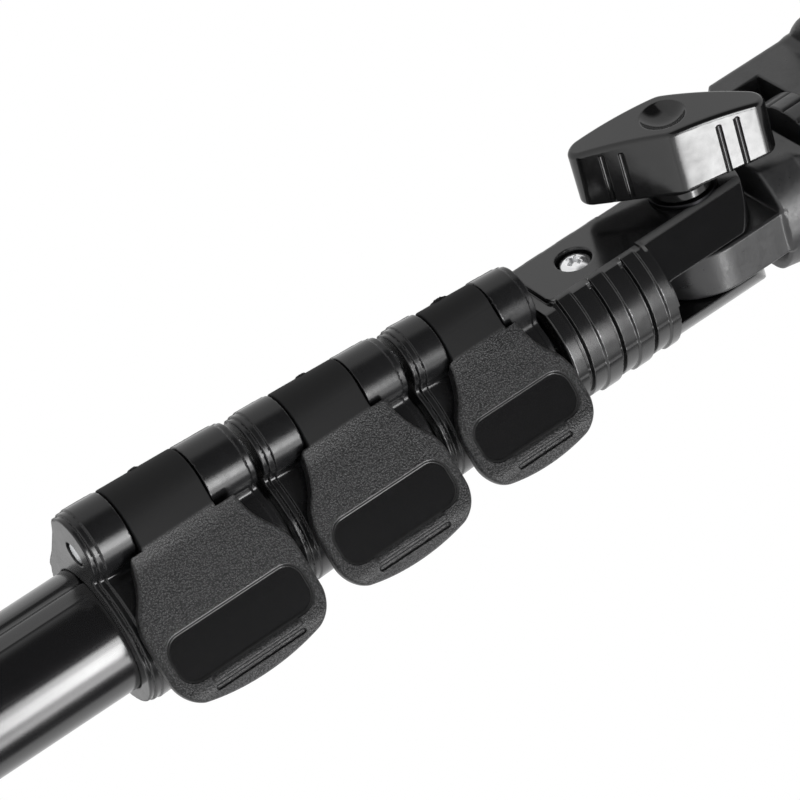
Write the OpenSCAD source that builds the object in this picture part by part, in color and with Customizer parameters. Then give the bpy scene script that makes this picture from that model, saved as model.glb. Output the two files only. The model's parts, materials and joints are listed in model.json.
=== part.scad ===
// Hand-held camera monopod: four sliding tubes, three lever locks, a tilting
// fork head with a wing knob, and a platform with a captive camera screw.
// Millimetres. Z runs up the tubes from the foot, -X faces the knob side and
// -Y the side the levers close on.

/* [Tubes] */
// outer diameter of the largest tube
tube_d = 22; // [20:0.5:28]
// drop in outer diameter from one tube to the next
tube_step = 3; // [2.8:0.1:3.4]
// wall of every tube
tube_wall = 1; // [0.9:0.05:1.1]
// travel of each sliding tube
stroke = 215; // [140:5:300]
// depth of the groove that keeps the tubes from turning
groove_depth = 0.7; // [0.5:0.05:0.8]

/* [Locks] */
// length of the lowest lock
lock_len = 31.8; // [29:0.2:38]
// how much shorter each next lock is
lock_len_step = 3.7; // [2:0.1:4]
// space between one lock and the next
lock_gap = 1.4; // [1:0.1:4]
// wall of a collar around its tube
collar_wall = 2.8; // [2.6:0.1:3.4]
// hinge pin centre beyond the face of the tube
pin_off = 6.7; // [6.2:0.1:7.4]
// angle of the hinge pin forward of the -X side
pin_lean = 8.8; // [0:0.2:14]
// diameter of the hinge pins
pin_d = 3.9; // [3:0.1:4.4]
// radius of the lowest hinge lobe
lobe_r = 6.65; // [6.2:0.05:7.2]
// how much smaller each next lobe is
lobe_step = 0.88; // [0.4:0.04:1]
// how much smaller the upper knuckle of a lock is than the lower
knuckle_step = 1.1; // [0.5:0.1:1.4]

/* [Levers] */
// angle of a closed lever from the X axis
lever_angle = 32; // [26:0.5:36]
// width of the lowest lever along the tube
plate_w = 29; // [26:0.2:31]
// how much narrower each next lever is
plate_w_step = 3.1; // [2.4:0.1:4]
// thickness of a lever plate
plate_t = 2.4; // [2:0.1:3.2]
// end of the lowest lever past the tube axis
plate_end = 18.2; // [16:0.2:22]
// how much shorter each next lever is
plate_step = 1; // [0:0.1:2]
// depth of the bare panel in a lever
panel_depth = 0.4; // [0.2:0.05:0.8]

/* [Head] */
// radius of the ribbed neck
neck_r = 12.2; // [11.6:0.1:14]
// length of the neck below the fork slot
neck_len = 21.6; // [20.4:0.2:28]
// distance of the flat cheeks from the tube axis
flat_off = 10.6; // [10.2:0.1:11]
// width of the fork slot
slot_w = 8.8; // [7.6:0.2:10]
// height of the tilt axis over the slot floor
tilt_rise = 13; // [12.6:0.2:15]
// diameter of the camera platform
platform_d = 44; // [40:1:56]
// diameter of the captive thumbwheel
wheel_d = 25.6; // [23.6:0.2:27]

/* [Knob] */
// length of the wing knob
knob_len = 33; // [26:0.2:38]
// width of the wing knob
knob_w = 12.2; // [11:0.2:15]
// height of the wing knob
knob_h = 12.3; // [10:0.1:16]
// turn of the wing knob from the tube axis
knob_turn = 28; // [0:1:90]

/* [Handle] */
// diameter of the grip
grip_d = 30; // [28:0.5:36]
// length of the grip
grip_len = 150; // [100:2:170]

/* [Hidden] */
$fn = 96;
eps = 0.01;
// clearances
press_fit = 0.02;
run_fit = 0.06;
slip_gap = 0.3;
seam_gap = 0.35;
plate_shift = 0.6;
plate_gap = 0.8;
// handle levels
cap_h = 10;
cap_spigot = 7;
ring_h = 7;
plug_flange = 6;
plug_spigot = 6;
plug_pitch = plug_flange + plug_spigot + 2;
lock_base = stroke + 44;
// groove along the tubes
groove_r = 1.6;
groove_out = groove_r - groove_depth;
// lock sizes
rim_1 = 0.9;
rim_2 = 1.1;
socket_part = 0.23;
barrel_part = 0.215;
barrel_up = 0.2;
ring_seat = 6;
ring_wall = 1.5;
release_flat = 0.7;
release_turn = 100;
pad_w = 6.4;
web_front = 2.5;
lobe_set = 0.15;
web_part = 0.86;
// head levels
neck_z = lock_base + lock_len + lock_len_at(1) + lock_len_at(2) + 2 * lock_gap + 0.9;
slot_z = neck_z + neck_len;
tilt_z = slot_z + tilt_rise;
shoulder_z = tilt_z + 10.3;
window_z = shoulder_z + 9.2;
window_h = 8.3;
window_w = 29;
deck_z = window_z + window_h + 9.8;
deck_h = 4.8;
top_z = deck_z + deck_h;
pad_h = 1.6;
// neck ribs
rib_first = 3.1;
rib_pitch = 6.6;
rib_low = 2.7;
rib_gap = 0.6;
rib_step = 0.4;
rib_groove = 0.8;
// fork and tilt joint
arm_r = neck_r + 1.1;
arm_drop = 4.2;
tongue_r = tilt_rise - 1.3;
tongue_t = slot_w - 0.5;
bolt_r = 2.5;
disc_r = 6.5;
disc_t = 0.8;
washer_t = 0.8;
knob_stem = 2.0;
insert_r = 4;
screw_r = 1.25;
screw_head_r = 2.5;
screw_z = neck_z + 11.5;
screw_seat = 2.2;
cam_screw_r = 3.175;
cam_shank_r = 3;
cam_screw_out = 5.5;
tube_4_depth = 18;

c_abs = [0.10, 0.10, 0.11];
c_lever = [0.17, 0.17, 0.18];
c_tube = [0.06, 0.06, 0.07];
c_rubber = [0.13, 0.13, 0.13];
c_steel = [0.72, 0.73, 0.75];
c_brass = [0.80, 0.66, 0.32];
c_nylon = [0.80, 0.80, 0.78];

function tube_r(k) = tube_d / 2 - k * tube_step / 2;
function bore_r(k) = tube_r(k) - tube_wall;
function lock_len_at(k) = lock_len - k * lock_len_step;
function lock_z(k) = k == 0 ? lock_base : lock_z(k - 1) + lock_len_at(k - 1) + lock_gap;
function collar_r(k) = tube_r(k) + collar_wall;
function lobe_r_at(k) = lobe_r - k * lobe_step;
function pin_x(k) = tube_r(k) + pin_off;
function socket(k) = lock_len_at(k) * socket_part;
function barrel_half(k) = lock_len_at(k) * barrel_part;
function barrel_z0(k) = lock_len_at(k) / 2 - barrel_half(k);
function barrel_z1(k) = lock_len_at(k) / 2 + barrel_half(k);
function barrel_r(k) = lobe_r_at(k) - knuckle_step / 2 + barrel_up;
function pocket_r(k) = max(barrel_r(k) + seam_gap, lobe_r_at(k) + 0.1);
function plate_half(k) = (plate_w - k * plate_w_step) / 2;
function plug_z(k) = cap_h + cap_spigot + 1 + (k - 1) * plug_pitch;
function hinge_q(k) = -pin_x(k) * cos(pin_lean + lever_angle);
function plate_n(k) = collar_r(k) + plate_gap;

// The frame of a hinge pin, X pointing away from the tube.
module at_pin(k) {
  rotate([0, 0, 180 + pin_lean])
    translate([pin_x(k), 0, 0])
      children();
}

// The frame of a lever plate: X down the lever, Y up the tube, Z outward.
module at_plate(k) {
  translate([0, 0, lock_z(k) + lock_len_at(k) / 2 + plate_shift])
    rotate([0, 0, -lever_angle])
      rotate([90, 0, 0])
        children();
}

// Handle

module end_cap() color(c_abs) difference() {
  union() {
    cylinder(h = 1.6, r1 = grip_d / 2 - 1.6, r2 = grip_d / 2);
    translate([0, 0, 1.6])
      cylinder(h = cap_h - 1.6, r = grip_d / 2);
    cylinder(h = cap_h + cap_spigot, r = bore_r(0) - press_fit);
    translate([-2.5, 0, 0.8])
      cube([5, grip_d / 2 + 3, 8.4]);
    translate([-2.5, grip_d / 2 + 3, 5])
      rotate([0, 90, 0])
        cylinder(h = 5, r = 4.2);
  }
  translate([-3, grip_d / 2 + 3, 5])
    rotate([0, 90, 0])
      cylinder(h = 6, r = 2.2);
  translate([-tube_r(0) - groove_out, 0, cap_h])
    cylinder(h = cap_spigot + 1, r = groove_r + tube_wall + slip_gap);
  translate([0, 0, cap_h + 2])
    cylinder(h = cap_spigot, r = bore_r(0) - 2.4);
}

module grip_sleeve() color(c_rubber) difference() {
  translate([0, 0, cap_h])
    cylinder(h = grip_len, r = grip_d / 2);
  translate([0, 0, cap_h - 1])
    cylinder(h = grip_len + 2, r = tube_r(0) + press_fit);
  for (i = [1:14])
    translate([0, 0, cap_h + i * grip_len / 15])
      rotate_extrude()
        translate([grip_d / 2 + 1, 0])
          circle(r = 2);
}

module grip_ring() color(c_abs) difference() {
  translate([0, 0, cap_h + grip_len]) {
    cylinder(h = 3, r = grip_d / 2);
    translate([0, 0, 3])
      cylinder(h = ring_h - 3, r1 = grip_d / 2, r2 = tube_r(0) + 1.2);
  }
  translate([0, 0, cap_h + grip_len - 1])
    cylinder(h = ring_h + 2, r = tube_r(0) + press_fit);
}

// Tubes and their guides

module tube(k, z0, z1) color(c_tube)
  translate([0, 0, z0])
    linear_extrude(height = z1 - z0)
      difference() {
        circle(r = tube_r(k));
        difference() {
          circle(r = bore_r(k));
          translate([-tube_r(k) - groove_out, 0])
            circle(r = groove_r + tube_wall * 0.8);
        }
        translate([-tube_r(k) - groove_out, 0])
          circle(r = groove_r);
      }

module plug(k) color(c_nylon) difference() {
  translate([0, 0, plug_z(k)]) {
    cylinder(h = plug_flange, r = bore_r(k - 1) - run_fit);
    cylinder(h = plug_flange + plug_spigot, r = bore_r(k) - press_fit);
  }
  translate([-tube_r(k - 1) - groove_out, 0, plug_z(k) - 1])
    cylinder(h = plug_flange + 1, r = groove_r + tube_wall * 0.8 + slip_gap);
  translate([-tube_r(k) - groove_out, 0, plug_z(k) + plug_flange])
    cylinder(h = plug_spigot + 1, r = groove_r + tube_wall * 0.8 + press_fit);
  translate([0, 0, plug_z(k) - 1])
    cylinder(h = plug_pitch, r = bore_r(k) - 2.2);
}

module tube_1() tube(0, cap_h, lock_z(0) + socket(0));
module tube_2() tube(1, plug_z(1) + plug_flange, lock_z(1) + socket(1));
module tube_3() tube(2, plug_z(2) + plug_flange, lock_z(2) + socket(2));

module tube_4() color(c_tube) difference() {
  tube(3, plug_z(3) + plug_flange, neck_z + tube_4_depth);
  translate([-tube_r(3) - 2, 0, screw_z])
    rotate([0, 90, 0])
      cylinder(h = 5, r = screw_r + press_fit);
}

module plug_2() plug(1);
module plug_3() plug(2);
module plug_4() plug(3);

// Lever locks

// A stack of rounds from z0 to z1, stepped in twice at its lower end and once
// at its upper end.
module stepped(r, z0, z1, low, high) {
  translate([0, 0, z0 + low * (rim_1 + rim_2)])
    cylinder(h = z1 - z0 - low * (rim_1 + rim_2) - high * rim_2, r = r);
  translate([0, 0, z0 + low * rim_1 + 0.1])
    cylinder(h = z1 - z0 - low * rim_1 - 0.1 - (1 - high) * 0.1, r = r - 0.4);
  translate([0, 0, z0 + (1 - low) * 0.2])
    cylinder(h = z1 - z0 - 0.4, r = r - 0.9);
}

module knuckles(k) {
  mid = lock_len_at(k) / 2;
  upper = lobe_r_at(k) - knuckle_step;
  at_pin(k) {
    stepped(lobe_r_at(k), lobe_set, mid - 0.4, 1, 0);
    stepped(upper, mid + 0.4, lock_len_at(k) - lobe_set, 0, 1);
  }
  rotate([0, 0, 180 + pin_lean]) {
    translate([tube_r(k), -web_part * lobe_r_at(k), 2 * lobe_set])
      cube([pin_off, web_part * lobe_r_at(k) + web_front, mid - 2 * lobe_set - 0.7]);
    translate([tube_r(k), -web_part * upper, mid + 0.6])
      cube([pin_off, web_part * upper + web_front, mid - rim_2 - 0.9]);
  }
}

module pad_block(k, grow, out) {
  rotate([0, 0, 180 + pin_lean])
    translate([
      tube_r(k + 1) - 2,
      -pad_w / 2 - grow,
      barrel_z0(k) + 1.4 - grow
    ])
      cube([
        pin_x(k) - barrel_r(k) - 0.25 - tube_r(k + 1) + 2 + out,
        pad_w + 2 * grow,
        2 * barrel_half(k) - 2.8 + 2 * grow
      ]);
}

module collar(k) color(c_abs)
  translate([0, 0, lock_z(k)])
    difference() {
      union() {
        stepped(collar_r(k), 0, lock_len_at(k), 1, 1);
        knuckles(k);
      }
      at_pin(k)
        translate([0, 0, barrel_z0(k) - seam_gap])
          cylinder(h = 2 * barrel_half(k) + 2 * seam_gap, r = pocket_r(k));
      pad_block(k, 0.15, 2);
      translate([0, 0, -1])
        cylinder(h = socket(k) + 1, r = tube_r(k) + press_fit);
      cylinder(h = lock_len_at(k), r = tube_r(k + 1) + slip_gap);
      translate([0, 0, lock_len_at(k) - ring_seat])
        cylinder(h = ring_seat + 1, r = tube_r(k + 1) + ring_wall);
      at_pin(k)
        translate([0, 0, -1])
          cylinder(h = lock_len_at(k) - 2, r = pin_d / 2 + press_fit);
    }

module pin(k) color(c_steel)
  at_pin(k)
    translate([0, 0, lock_z(k) + lobe_set + 0.1])
      cylinder(h = lock_len_at(k) - 3.4, r = pin_d / 2);

module guide_ring(k) color(c_nylon)
  translate([0, 0, lock_z(k) + lock_len_at(k) - ring_seat])
    difference() {
      cylinder(h = ring_seat - 0.5, r = tube_r(k + 1) + ring_wall - press_fit);
      translate([0, 0, -1])
        cylinder(h = ring_seat + 1, r = tube_r(k + 1) + run_fit);
    }

module clamp_pad(k) color(c_nylon)
  translate([0, 0, lock_z(k)])
    difference() {
      pad_block(k, 0, 0);
      cylinder(h = lock_len_at(k), r = tube_r(k + 1) + run_fit);
    }

module rounded_bar(x0, x1, half, r) {
  translate([x0 + r, -half])
    square([x1 - x0 - 2 * r, 2 * half]);
  translate([x0, -half + r])
    square([x1 - x0, 2 * half - 2 * r]);
  for (x = [x0 + r, x1 - r], y = [r - half, half - r])
    translate([x, y])
      circle(r = r);
}

module lever_outline(k) {
  wide = plate_half(k);
  neck = wide - 4.6;
  end = plate_end - k * plate_step;
  s0 = k - 5.2;
  s1 = k + 0.4;
  polygon([
    [hinge_q(k), -barrel_half(k)],
    [hinge_q(k) + 3.6, -barrel_half(k)],
    [hinge_q(k) + 4.5, -neck],
    [s0, -neck],
    [s1, -wide + 0.4],
    [s1 + 1.2, -wide],
    [s1 + 1.2, wide],
    [s1, wide - 0.4],
    [s0, neck],
    [hinge_q(k) + 4.5, neck],
    [hinge_q(k) + 3.6, barrel_half(k)],
    [hinge_q(k), barrel_half(k)]
  ]);
  intersection() {
    union() {
      translate([s1 + 0.6, -wide])
        square([end - 5.8 - s1 - 0.6, 2 * wide]);
      translate([s1 + 0.6, 4 - wide])
        square([end - s1 - 0.6, 2 * wide - 8]);
      for (y = [4 - wide, wide - 4])
        translate([end - 5.8, y])
          circle(r = 4);
    }
    translate([end - 2.2 * wide, 0])
      circle(r = 2.2 * wide);
  }
}

module lever(k) color(c_lever) {
  wide = plate_half(k);
  end = plate_end - k * plate_step;
  top = plate_n(k) + plate_t;
  difference() {
    union() {
      difference() {
        at_plate(k)
          translate([0, 0, plate_n(k)])
            linear_extrude(height = plate_t)
              lever_outline(k);
        translate([0, 0, lock_z(k)])
          at_pin(k) {
            translate([0, 0, -1])
              cylinder(h = barrel_z0(k) + 1.2, r = lobe_r_at(k) + 0.45);
            translate([0, 0, barrel_z1(k) - 0.2])
              cylinder(h = lock_len_at(k), r = lobe_r_at(k) + 0.45);
          }
      }
      translate([0, 0, lock_z(k)])
        at_pin(k)
          barrel(k);
      at_plate(k)
        translate([0, 0, top - 0.3])
          linear_extrude(height = 0.65)
            rounded_bar(end - 4.6, end - 3.6, wide - 6, 0.4);
    }
    at_plate(k) {
      translate([0, 0, top - panel_depth])
        linear_extrude(height = 2)
          rounded_bar(5.1 - 0.8 * k, end - 5.1, wide - 1.9, 1.6);
      translate([0, 0, top - 0.5])
        linear_extrude(height = 2)
          rounded_bar(end - 3.1, end - 2.3, wide - 6, 0.35);
    }
    translate([0, 0, lock_z(k)])
      at_pin(k) {
        translate([0, 0, -1])
          cylinder(h = lock_len_at(k) + 2, r = pin_d / 2 + run_fit);
        rotate([0, 0, release_turn - 180])
          translate([barrel_r(k) - release_flat, -8, 0])
            cube([6, 16, lock_len_at(k)]);
      }
  }
}

module barrel(k) {
  translate([0, 0, barrel_z0(k)])
    cylinder(h = 2 * barrel_half(k), r = barrel_r(k));
}

module collar_1() collar(0);
module collar_2() collar(1);
module collar_3() collar(2);
module pin_1() pin(0);
module pin_2() pin(1);
module pin_3() pin(2);
module guide_ring_1() guide_ring(0);
module guide_ring_2() guide_ring(1);
module guide_ring_3() guide_ring(2);
module clamp_pad_1() clamp_pad(0);
module clamp_pad_2() clamp_pad(1);
module clamp_pad_3() clamp_pad(2);
module lever_1() lever(0);
module lever_2() lever(1);
module lever_3() lever(2);

// Head

module along_x(x0, x1, r, z) {
  translate([x0, 0, z])
    rotate([0, 90, 0])
      cylinder(h = x1 - x0, r = r);
}

module fork() color(c_abs) difference() {
  intersection() {
    union() {
      translate([0, 0, neck_z])
        cylinder(h = neck_len, r = neck_r - rib_groove);
      translate([0, 0, neck_z])
        cylinder(h = rib_first - rib_gap, r = neck_r);
      for (i = [0:2])
        translate([0, 0, neck_z + rib_first + i * rib_pitch]) {
          cylinder(h = rib_low, r = neck_r);
          translate([0, 0, rib_low])
            cylinder(h = rib_pitch - rib_low - rib_gap, r = neck_r + rib_step);
        }
      translate([0, 0, slot_z - 0.6])
        cylinder(h = tilt_rise + neck_r, r = neck_r);
    }
    union() {
      translate([-neck_r - 2, -neck_r - 2, neck_z])
        cube([2 * neck_r + 4, 2 * neck_r + 4, tilt_z - arm_drop - neck_z]);
      along_x(-neck_r - 2, neck_r + 2, arm_r, tilt_z - arm_drop);
    }
    translate([-flat_off, -neck_r - 2, neck_z])
      cube([2 * flat_off, 2 * neck_r + 4, neck_len + tilt_rise + neck_r + 2]);
  }
  rotate([0, 0, 141])
    translate([neck_r - 0.15, -neck_r, neck_z - 1])
      cube([neck_r, 2 * neck_r, neck_len + tilt_rise + neck_r + 3]);
  translate([-slot_w / 2, -neck_r - 3, slot_z])
    cube([slot_w, 2 * neck_r + 6, tilt_rise + neck_r + 2]);
  translate([0, 0, neck_z - 1])
    cylinder(h = tube_4_depth + 1, r = tube_r(3) + press_fit);
  along_x(-neck_r - 1, neck_r + 1, bolt_r + press_fit, tilt_z);
  translate([flat_off - 2.4, 0, tilt_z])
    rotate([0, 90, 0])
      cylinder(h = 4, r = 4.65, $fn = 6);
  along_x(-neck_r - 1, 0, screw_r + press_fit, screw_z);
  along_x(-neck_r - 1, screw_seat - flat_off, 3.1, screw_z);
  translate([-flat_off - eps, 0, screw_z])
    rotate([0, 90, 0])
      cylinder(h = 0.6, r1 = 3.4, r2 = 3);
}

module fork_screw() color(c_steel) difference() {
  union() {
    along_x(-flat_off + screw_seat - 0.9, -flat_off + screw_seat, screw_head_r, screw_z);
    translate([-flat_off + screw_seat - 0.9, 0, screw_z])
      rotate([0, -90, 0])
        cylinder(h = 0.8, r1 = screw_head_r, r2 = 1.7);
    along_x(-flat_off + screw_seat - eps, -bore_r(3) + 0.6, screw_r, screw_z);
  }
  for (a = [0, 90])
    translate([-flat_off + screw_seat - 1.7, 0, screw_z])
      rotate([a + 45, 0, 0])
        translate([-1, -1.5, -0.3])
          cube([2, 3, 0.6]);
}

module tilt_bolt() color(c_steel) {
  along_x(-flat_off - washer_t - knob_stem - 7, flat_off - 2.4 + eps, bolt_r, tilt_z);
  translate([flat_off - 2.4, 0, tilt_z])
    rotate([0, 90, 0])
      cylinder(h = 3.2, r = 4.6, $fn = 6);
}

module knob_washer() color(c_steel) difference() {
  along_x(-flat_off - washer_t, -flat_off, 6, tilt_z);
  along_x(-flat_off - 2, 0, bolt_r + press_fit, tilt_z);
}

module tilt_block() color(c_abs) difference() {
  union() {
    along_x(-tongue_t / 2, tongue_t / 2, tongue_r, tilt_z);
    translate([-tongue_t / 2, -tongue_r, tilt_z])
      cube([tongue_t, 2 * tongue_r, shoulder_z - tilt_z + 1]);
    intersection() {
      union() {
        translate([0, 0, shoulder_z])
          cylinder(h = 7, r1 = neck_r + 0.2, r2 = neck_r + 1.4);
        translate([0, 0, shoulder_z + 7])
          cylinder(h = 3.2, r1 = neck_r + 1.4, r2 = platform_d / 2 + 0.3);
        translate([0, 0, shoulder_z + 10.2])
          cylinder(h = deck_z - shoulder_z - 10, r = platform_d / 2 + 0.3);
      }
      translate([-flat_off, -platform_d, shoulder_z])
        cube([2 * flat_off, 2 * platform_d, deck_z]);
    }
    translate([0, 0, deck_z]) {
      cylinder(h = deck_h - 0.8, r = platform_d / 2 - 0.3);
      cylinder(h = deck_h, r = platform_d / 2 - 1.1);
    }
  }
  along_x(-neck_r, neck_r, bolt_r + run_fit, tilt_z);
  along_x(-neck_r, disc_t - slot_w / 2 + run_fit, disc_r + press_fit, tilt_z);
  along_x(slot_w / 2 - run_fit - disc_t, neck_r, disc_r + press_fit, tilt_z);
  translate([-platform_d, -window_w / 2, window_z])
    cube([2 * platform_d, window_w, window_h]);
  translate([0, 0, window_z - 6])
    cylinder(h = top_z - window_z + 7, r = cam_shank_r + run_fit);
}

module tilt_disc(x) color(c_nylon) difference() {
  along_x(x, x + disc_t, disc_r, tilt_z);
  along_x(x - 1, x + disc_t + 1, bolt_r + run_fit, tilt_z);
}

module tilt_disc_near() tilt_disc(run_fit - slot_w / 2);
module tilt_disc_far() tilt_disc(slot_w / 2 - run_fit - disc_t);

module knob_plan() {
  tip = 2.3;
  polygon([
    [tip - knob_len / 2, -tip],
    [0, -knob_w / 2],
    [knob_len / 2 - tip, -tip],
    [knob_len / 2 - tip, tip],
    [0, knob_w / 2],
    [tip - knob_len / 2, tip]
  ]);
  for (s = [-1, 1])
    translate([s * (knob_len / 2 - tip), 0])
      circle(r = tip);
}

// The knob is drawn lying on its base with its length along X.
module knob_shape() {
  foot = washer_t + run_fit;
  crown_r = 71;
  difference() {
    union() {
      translate([0, 0, foot])
        cylinder(h = knob_stem + 1, r = 5.4);
      intersection() {
        translate([0, 0, foot + knob_stem])
          linear_extrude(height = knob_h)
            knob_plan();
        translate([0, knob_w, foot + knob_stem + knob_h - crown_r])
          rotate([90, 0, 0])
            cylinder(h = 2 * knob_w, r = crown_r, $fn = 192);
      }
    }
    translate([0, 0, foot + knob_stem + knob_h + 9.4])
      sphere(r = 10.3);
    translate([0, 0, foot - 1])
      cylinder(h = knob_stem + 9, r = insert_r + press_fit);
    for (s = [-1, 1], t = [-1, 1], u = [0.25, 0.345])
      translate([
        s * u * knob_len,
        t * (knob_w / 2 - 2 * u * (knob_w / 2 - 2.3) * knob_len / (knob_len - 4.6) + 0.15),
        foot + knob_stem - 1
      ])
        cylinder(h = knob_h + 2, r = 0.5);
  }
}

module at_knob() {
  translate([-flat_off, 0, tilt_z])
    rotate([knob_turn, 0, 0])
      rotate([0, -90, 0])
        children();
}

module knob() color(c_abs) at_knob() knob_shape();

module knob_insert() color(c_brass) at_knob() difference() {
  translate([0, 0, washer_t + run_fit + 0.2])
    cylinder(h = knob_stem + 7.4, r = insert_r);
  cylinder(h = knob_stem + 12, r = bolt_r + run_fit);
}

module thumbwheel() color(c_abs) difference() {
  union() {
    translate([0, 0, window_z + 2.6])
      linear_extrude(height = 4.9)
        difference() {
          circle(r = wheel_d / 2);
          for (i = [0:35])
            rotate(i * 10)
              translate([wheel_d / 2 + 0.15, 0])
                circle(r = 0.6);
        }
    translate([0, 0, window_z + slip_gap])
      cylinder(h = window_h - 2 * slip_gap, r = 5.6);
  }
  translate([0, 0, window_z - 1])
    cylinder(h = window_h + 2, r = cam_shank_r + press_fit);
}

module camera_screw() color(c_steel) {
  thread = pad_h + cam_screw_out - 1;
  translate([0, 0, window_z - 5.5])
    cylinder(h = top_z + 0.2 - window_z + 5.5 + eps, r = cam_shank_r);
  translate([0, 0, top_z + 0.2])
    cylinder(h = thread, r = cam_screw_r);
  translate([0, 0, top_z + 0.2 + thread])
    cylinder(h = 0.8, r1 = cam_screw_r, r2 = cam_screw_r - 0.7);
}

module platform_pad() color(c_rubber) difference() {
  translate([0, 0, top_z])
    cylinder(h = pad_h, r = platform_d / 2 - 1.6);
  translate([0, 0, top_z - 1])
    cylinder(h = pad_h + 2, r = cam_screw_r + 1.8);
  for (r = [9, 12.5, 16])
    translate([0, 0, top_z + pad_h])
      rotate_extrude()
        translate([r, 0])
          circle(r = 0.6);
}

end_cap();
grip_sleeve();
grip_ring();
tube_1();
tube_2();
tube_3();
tube_4();
plug_2();
plug_3();
plug_4();
collar_1();
collar_2();
collar_3();
pin_1();
pin_2();
pin_3();
guide_ring_1();
guide_ring_2();
guide_ring_3();
clamp_pad_1();
clamp_pad_2();
clamp_pad_3();
lever_1();
lever_2();
lever_3();
fork();
fork_screw();
tilt_bolt();
knob_washer();
tilt_block();
tilt_disc_near();
tilt_disc_far();
knob();
knob_insert();
thumbwheel();
camera_screw();
platform_pad();
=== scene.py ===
import bmesh
import bpy
import json
import math
import numpy as np
from mathutils import Matrix, Vector


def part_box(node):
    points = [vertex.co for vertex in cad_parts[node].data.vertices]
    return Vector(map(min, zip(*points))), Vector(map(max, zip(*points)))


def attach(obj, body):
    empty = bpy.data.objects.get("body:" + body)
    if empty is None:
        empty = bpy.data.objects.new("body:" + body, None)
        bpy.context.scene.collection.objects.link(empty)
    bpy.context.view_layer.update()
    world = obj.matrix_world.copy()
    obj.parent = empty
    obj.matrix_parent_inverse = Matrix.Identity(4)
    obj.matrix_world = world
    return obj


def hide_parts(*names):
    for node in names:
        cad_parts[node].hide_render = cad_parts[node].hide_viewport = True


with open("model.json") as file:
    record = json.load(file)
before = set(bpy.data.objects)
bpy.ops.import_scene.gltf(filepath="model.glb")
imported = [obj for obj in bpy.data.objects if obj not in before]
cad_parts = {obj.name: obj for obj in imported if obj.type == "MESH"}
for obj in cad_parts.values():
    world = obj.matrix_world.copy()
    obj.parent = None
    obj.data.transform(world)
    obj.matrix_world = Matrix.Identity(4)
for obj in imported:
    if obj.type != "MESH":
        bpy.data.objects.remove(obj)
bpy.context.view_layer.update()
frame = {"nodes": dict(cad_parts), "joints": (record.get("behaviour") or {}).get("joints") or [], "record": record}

# Lengths in this script are millimetres in the part's frame, and meshes are written in metres.
mm = 0.001
fit = 0.02  # clearance between pieces that touch
keen = 0.1  # four radii of edges that many pieces share
crisp = 0.15
plain = 0.2
soft = 0.3
bodyOf = {node: body for body, names in frame["record"]["behaviour"]["bodies"].items() for node in names}
pivot = {joint["name"]: np.array(joint.get("pos_m", (0, 0, 0))) / mm for joint in frame["joints"]}
tiltZ = pivot["head_tilt"][2]
finishes = {}


def extent(node):
    low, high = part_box(node)
    return np.array(low) / mm, np.array(high) / mm


# Distance fields: negative inside, in millimetres from the surface.

def roundMax(a, b, r):  # what two fields share, its edge rounded to radius r
    return np.minimum(np.maximum(a, b), -r) + np.hypot(np.maximum(a + r, 0), np.maximum(b + r, 0))


def roundMin(a, b, r):  # both fields together, the corner between them filled to radius r
    return -roundMax(-a, -b, r)


def cut(a, b, r):  # field a less field b, the new edge rounded to radius r
    return roundMax(a, -b, r)


def between(x, low, high):  # a slab
    return np.maximum(low - x, x - high)


def rod(across, along, radius, low, high, edge):  # a round bar with rounded ends
    return roundMax(across - radius, between(along, low, high), edge)


def barPlan(x, y, low, high, half, r):  # a flat bar's plan with its corners rounded to r
    dx = between(x, low + r, high - r)
    dy = np.abs(y) - half + r
    return np.minimum(np.maximum(dx, dy), 0) + np.hypot(np.maximum(dx, 0), np.maximum(dy, 0)) - r


def hexagon(y, z, flat):  # a hexagon with corners on the z axis, flat from its centre to a side
    return np.maximum(np.abs(z) * math.cos(math.pi / 6) + np.abs(y) * 0.5, np.abs(y)) - flat


def smoothStep(x, low, high):
    t = np.clip((x - low) / (high - low), 0, 1)
    return t * t * (3 - 2 * t)


def plateau(x, low, high, slope):  # 1 between low and high, 0 outside, eased over the slope
    return smoothStep(x, low, low + slope) - smoothStep(x, high - slope, high)


def softDip(gap, lip):  # depth of a groove, gap being the distance outside its edge, the lips rounded
    return 0.5 * (np.hypot(gap, lip) - gap)


def slopeOf(field, p, h=0.02):  # central differences of the field along X, Y and Z
    step = np.eye(3) * h
    return np.stack([(field(*(p + s).T) - field(*(p - s).T)) / (2 * h) for s in step], -1)


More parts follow.
